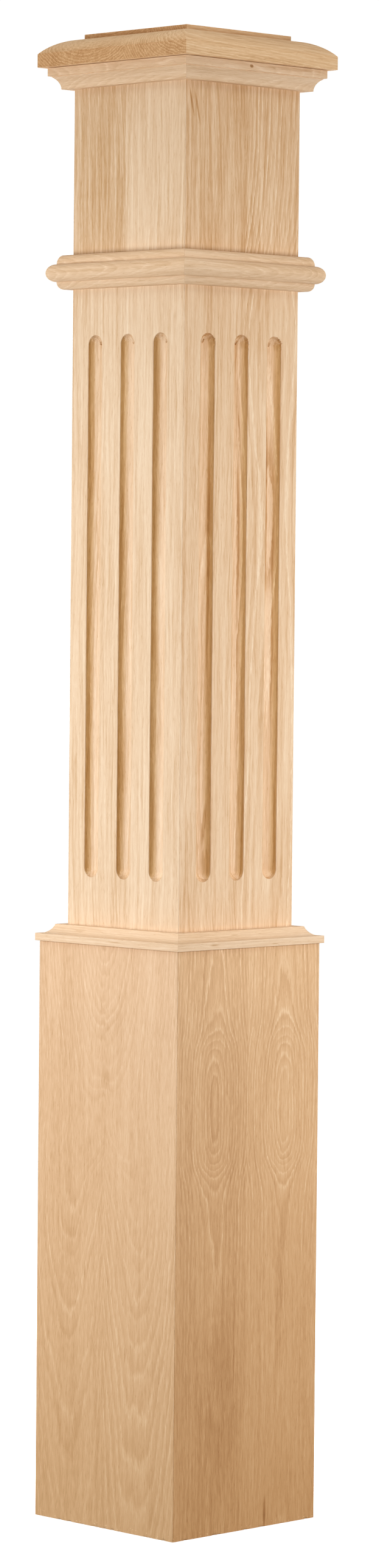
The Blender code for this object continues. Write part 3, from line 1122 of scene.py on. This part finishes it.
@dataclass
class Base(Board):
    """The base's plain boards, with small chips along their lower edges.

    Attributes:
        chips: Chips on each board.
        chip_depth: Depth of the deepest chip.
    """

    chips: int = 14
    chip_depth: float = 0.0011

    def chipped(self, side: Side, across: Points, up: Points) -> Points:
        """How far the chips set the face back: a raised cosine across that fades a little way up.

        Args:
            side: Side of the post.
            across: Places across.
            up: Heights above the foot.

        Returns:
            The distances.
        """
        ragged = np.random.default_rng(7 + side.value)
        count = self.chips if side in (Side.FRONT, Side.RIGHT) else self.chips // 2
        depth = np.zeros(np.broadcast(across, up).shape)
        for _ in range(count):
            centre = ragged.uniform(-0.085, 0.085)
            width = ragged.uniform(0.0012, 0.004)
            height = ragged.uniform(0.0006, 0.0022)
            size = ragged.uniform(0.3, 1.0) * self.chip_depth
            fall = np.clip(1 - up / height, 0.0, 1.0)
            depth = np.maximum(depth, size * bump_row(across, centre, width) * fall)
        return depth

    def board(self, side: Side) -> Shell:
        """Shell of one board."""
        shell = Shell(node_name(self.piece, side) + "_oak")
        start = self.half - 0.004
        row = np.linspace(-start, start, 181)
        low = np.array([0.0, 0.0004, 0.0008, 0.0013, 0.0019, 0.0026, 0.004, 0.01])
        heights = np.concatenate([self.bottom + low, np.linspace(0.05, self.top - 0.0004, 8), [self.top]])
        depth = self.chipped(side, row[None, :], heights[:, None] - self.bottom)
        depth[-1] = 0.0002
        depth[:, [0, -1]] = 0.0
        shell.patch(side.place(self.half - depth, row[None, :], heights[:, None]))
        self.strip(shell, side, start, heights)
        self.end(shell, side, (self.half - depth[0], row), start, self.bottom)
        self.end(shell, side, (self.half - depth[-1], row), start, self.top)
        return shell

    def finish(self, side: Side) -> Oak:
        """Oak of one board, two bookmatched staves with the cathedral figure that each side shows."""
        number, name = side.value, node_name(self.piece, side) + "_oak"
        # tint darkens each board towards its foot: partly the wood's own colour, partly painted shade where
        # the light falls off towards the floor, stronger on the right and left boards
        if side in (Side.FRONT, Side.BACK):
            joint, palette, tint = -0.0022, FRONT_BASE_OAK, (1.0, 0.93, 0.78)
            rings = (FRONT_PITH, FRONT_BEYOND, 0.0042, FRONT_CONTRAST)
            staves = (Stave(-0.1, joint, -1, *rings, flat(0.0), 3.0 + number),
                      Stave(joint, joint, 1, *rings, flat(0.015), 5.0 + number))
            streaks = (Mark(-0.028, 0.245, 0.0007, 0.011, 0.3), Mark(0.028, 0.17, 0.0008, 0.012, 0.34),
                       Mark(0.0, 0.43, 0.006, 0.012, 0.1)) if side is Side.FRONT else ()
        else:
            joint, palette, tint = -0.0016, RIGHT_BASE_OAK, (0.93, 0.80, 0.63)
            rings = (flat(0.0), EYE_BEYOND, 0.0034, EYE_CONTRAST)
            staves = (Stave(-0.1, -0.045, 1, *rings, flat(-0.03), 8.0 + number),
                      Stave(joint, 0.0485, 1, *rings, flat(0.03), 11.0 + number))
            streaks = (Mark(0.027, 0.012, 0.0022, 0.02, 0.34), Mark(0.044, 0.22, 0.006, 0.09, 0.12),
                       Mark(-0.032, 0.13, 0.03, 0.13, 0.11)) if side is Side.RIGHT else ()
        return Oak(name, side, Grain.UPWARD, self.half, palette, staves, streaks, fibres=0.66, strands=0.12,
                   streaking=0.26, scuffs=0.34, foot_tone_and_shade=tint, foot=(self.bottom, self.top))

    def build(self) -> None:
        """Make and dress the four boards."""
        for side in Side:
            self.board(side).make(self.finish(side).material(), self.slot, node_name(self.piece, side))


@dataclass
class Cap:
    """The square cap: a raised field, a border that falls in an arc, an upright edge and a flat underside.

    The section is carried round a square with rounded corners: ring j is the square of half width d_j at
    height z_j.

    Attributes:
        border_run: Width of the border.
        edge_height: Height of the upright edge.
        field_step: Height that the field stands above the border.
        ease: Rounding of its edges.
        corner: Radius of its corners in plan.
    """

    border_run: float = 0.03175
    edge_height: float = 0.0127
    field_step: float = 0.00475
    ease: float = 0.0005
    corner: float = 0.0006

    def __post_init__(self) -> None:
        """Read the cap's size from the frame."""
        low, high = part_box("cap")
        self.half, self.bottom, self.top = high[0], low[2], high[2]

    def section(self) -> Points:
        """Outline from the top's middle out, down the border and the edge, and in along the underside."""
        field_half = self.half - self.border_run
        foot = (field_half, self.top - self.field_step)
        arris = (self.half, self.bottom + self.edge_height)
        fall = 2 * math.degrees(math.atan2(foot[1] - arris[1], self.border_run))
        border = arc_points(foot, arris, 90, 90 - fall, 20)
        corners = np.array([(0.002, self.top), (field_half, self.top), *border, (self.half, self.bottom),
                            (0.002, self.bottom)])
        radii = np.zeros(len(corners))
        radii[[1, -3, -2]] = self.ease
        outline = eased_outline(corners, radii)
        first = int(np.argmin(np.abs(outline - corners[0]).sum(axis=1)))
        return np.roll(outline, -first, axis=0)

    def around(self, half: Points) -> tuple[Points, Points]:
        """Square rings with rounded corners, one row for each half width.

        Args:
            half: Half widths.

        Returns:
            x and y of each ring's points, with the first point repeated at the end.
        """
        turn = np.arange(4) * np.pi / 2
        angle = (turn[:, None] + np.linspace(0.0, np.pi / 2, 5)[None, :]).ravel()
        middle = np.repeat(turn + np.pi / 4, 5)
        radius = np.minimum(self.corner, 0.45 * half)[:, None]
        centre = (half[:, None] - radius) * math.sqrt(2)
        x = centre * np.cos(middle) + radius * np.cos(angle)
        y = centre * np.sin(middle) + radius * np.sin(angle)
        return np.concatenate([x, x[:, :1]], axis=1), np.concatenate([y, y[:, :1]], axis=1)

    def finish(self) -> Oak:
        """Oak of the cap, its grain from front to back, with ring ends on the front and back."""
        left_pith, right_pith = ((-0.1, 0.0), (0.1, 0.012)), ((-0.1, 0.0), (0.1, -0.01))
        left = Stave(-0.11, -0.035, 1, left_pith, flat(0.05), 0.0026, flat(1.2), flat(0.0), 61.0)
        right = Stave(0.018, 0.11, 1, right_pith, flat(0.035), 0.0026, flat(1.2), flat(0.0), 63.0)
        return Oak("cap_oak", Side.RIGHT, Grain.THROUGH, self.top, CAP_OAK, (left, right), figure=0.003)

    def build(self) -> None:
        """Make and dress the cap."""
        outline = self.section()
        x, y = self.around(outline[:, 0])
        points = np.stack([x, y, np.broadcast_to(outline[:, 1:], x.shape)], axis=-1)
        shell = Shell("cap_oak")
        shell.patch(points)
        shell.cap(points[0, :-1])
        shell.cap(points[-1, :-1])
        shell.make(self.finish().material(), "cap", "cap")


# The floor's flat radius, its whole radius, its rim's height, and its gap under the post
FLOOR_FLAT, FLOOR_REACH, RIM_HEIGHT, FLOOR_GAP = 26.0, 46.0, 14.0, 0.0006


@dataclass
class Studio:
    """Pale sweep, soft boxes and the camera.

    Attributes:
        lens: Focal length on a sensor as long as the picture's long side, in millimetres.
        eye: Camera's place.
        heading: Its turn about the vertical, in degrees.
        pitch: How far it looks down, in degrees.
        roll: Its turn about its own axis, in degrees.
    """

    lens: float = 114.467
    eye: tuple[float, float, float] = (3.4167, -3.3475, 0.9003)
    heading: float = 45.4886
    pitch: float = 2.3078
    roll: float = 0.5284

    def camera(self) -> None:
        """Set the camera up at the photograph's angle."""
        data = bpy.data.cameras.new("camera")
        data.sensor_width = 36.0
        data.lens = self.lens
        data.clip_start, data.clip_end = 0.05, 80.0
        camera = bpy.data.objects.new("camera", data)
        heading = Matrix.Rotation(math.radians(self.heading), 4, "Z")
        pitch = Matrix.Rotation(math.radians(90.0 - self.pitch), 4, "X")
        roll = Matrix.Rotation(math.radians(self.roll), 4, "Z")
        camera.matrix_world = Matrix.Translation(self.eye) @ heading @ pitch @ roll
        bpy.context.scene.collection.objects.link(camera)
        bpy.context.scene.camera = camera

    def box_light(self, name: str, azimuth: float, distance: float, height: float, size: Pair, power: float,
                  aim: float) -> None:
        """Hang one soft box round the post.

        Args:
            name: Name of the light.
            azimuth: Its bearing round the post, in degrees from the front, to the right.
            distance: Its distance from the post's axis.
            height: Its height.
            size: Width and height of its face.
            power: Its power in watts.
            aim: Height that it faces.
        """
        data = bpy.data.lights.new(name, "AREA")
        data.shape = "RECTANGLE"
        data.size, data.size_y = size
        data.energy = power
        light = bpy.data.objects.new(name, data)
        bearing = math.radians(azimuth)
        light.location = (distance * math.sin(bearing), -distance * math.cos(bearing), height)
        tilt = math.atan2(distance, height - aim)
        turned = Matrix.Rotation(bearing, 4, "Z") @ Matrix.Rotation(tilt, 4, "X")
        light.rotation_euler = turned.to_euler()
        bpy.context.scene.collection.objects.link(light)

    def sweep(self) -> None:
        """Lay the pale floor, a round dish with a high rim.

        Out to FLOOR_FLAT it lies FLOOR_GAP under the post's foot. Beyond that it rises by RIM_HEIGHT times
        (1 - cos(way * 90 degrees)), where way is the share of the distance to the rim.
        """
        turn = np.linspace(0.0, 2 * np.pi, 121)[:-1]
        reach = np.concatenate([np.linspace(1.0, FLOOR_FLAT, 14),
                                np.linspace(FLOOR_FLAT + 1.5, FLOOR_REACH, 28)])
        way = np.clip((reach - FLOOR_FLAT) / (FLOOR_REACH - FLOOR_FLAT), 0.0, 1.0)
        rise = RIM_HEIGHT * (1 - np.cos(way * np.pi / 2)) - FLOOR_GAP
        x = reach[:, None] * np.cos(turn)
        y = reach[:, None] * np.sin(turn)
        dish = np.stack([x, y, np.broadcast_to(rise[:, None], x.shape)], axis=-1)
        index = np.arange(x.size).reshape(x.shape)
        following = np.roll(index, -1, axis=1)
        quads = np.stack([index[:-1], index[1:], following[1:], following[:-1]], axis=-1)
        mesh = bpy.data.meshes.new("floor")
        faces = [index[0].tolist()] + quads.reshape(-1, 4).tolist()
        mesh.from_pydata(dish.reshape(-1, 3).tolist(), [], faces)
        mesh.shade_smooth()
        sheet = NodeSheet("pale_floor")
        sheet.shader.inputs["Base Color"].default_value = (0.86, 0.86, 0.86, 1.0)
        sheet.shader.inputs["Emission Color"].default_value = (1.0, 1.0, 1.0, 1.0)
        sheet.shader.inputs["Emission Strength"].default_value = 0.86
        sheet.shader.inputs["Roughness"].default_value = 0.9
        sheet.shader.inputs["Specular IOR Level"].default_value = 0.1
        mesh.materials.append(sheet.material)
        floor = bpy.data.objects.new("floor", mesh)
        bpy.context.scene.collection.objects.link(floor)
        floor.visible_diffuse = False
        floor.visible_glossy = False

    def build(self) -> None:
        """Set up the whole studio."""
        scene = bpy.context.scene
        scene.view_settings.view_transform = "Standard"
        world = bpy.data.worlds.new("studio")
        world.use_nodes = True
        world.node_tree.nodes["Background"].inputs["Color"].default_value = (1.0, 0.94, 0.85, 1.0)
        world.node_tree.nodes["Background"].inputs["Strength"].default_value = 0.22
        scene.world = world
        self.sweep()
        self.box_light("left_box", -18.0, 1.35, 0.7, (0.4, 0.85), 14.6, 0.68)
        self.box_light("right_box", 108.0, 1.35, 0.7, (0.4, 0.85), 12.4, 0.68)
        self.box_light("back_box", 192.0, 1.6, 0.8, (0.5, 1.0), 13.0, 0.74)
        self.box_light("side_box", 258.0, 1.6, 0.8, (0.5, 1.0), 15.0, 0.74)
        self.box_light("front_fill", 45.0, 2.0, 2.5, (1.2, 1.0), 14.0, 1.2)
        self.box_light("top_box", 45.0, 0.3, 2.7, (0.9, 0.9), 8.0, 1.42)
        self.camera()


def main() -> None:
    """Build and dress the post from the floor up, then the studio."""
    logging.basicConfig(level=logging.INFO, format="%(message)s")
    Base("base_board", "base").build()
    BaseTrim("base_moulding", "base_moulding").build()
    Shaft("shaft_board", "shaft").build()
    Band("band_moulding", "band_moulding").build()
    CapTrim("cap_moulding", "cap_moulding").build()
    Cap().build()
    Studio().build()


if __name__ == "__main__":
    main()
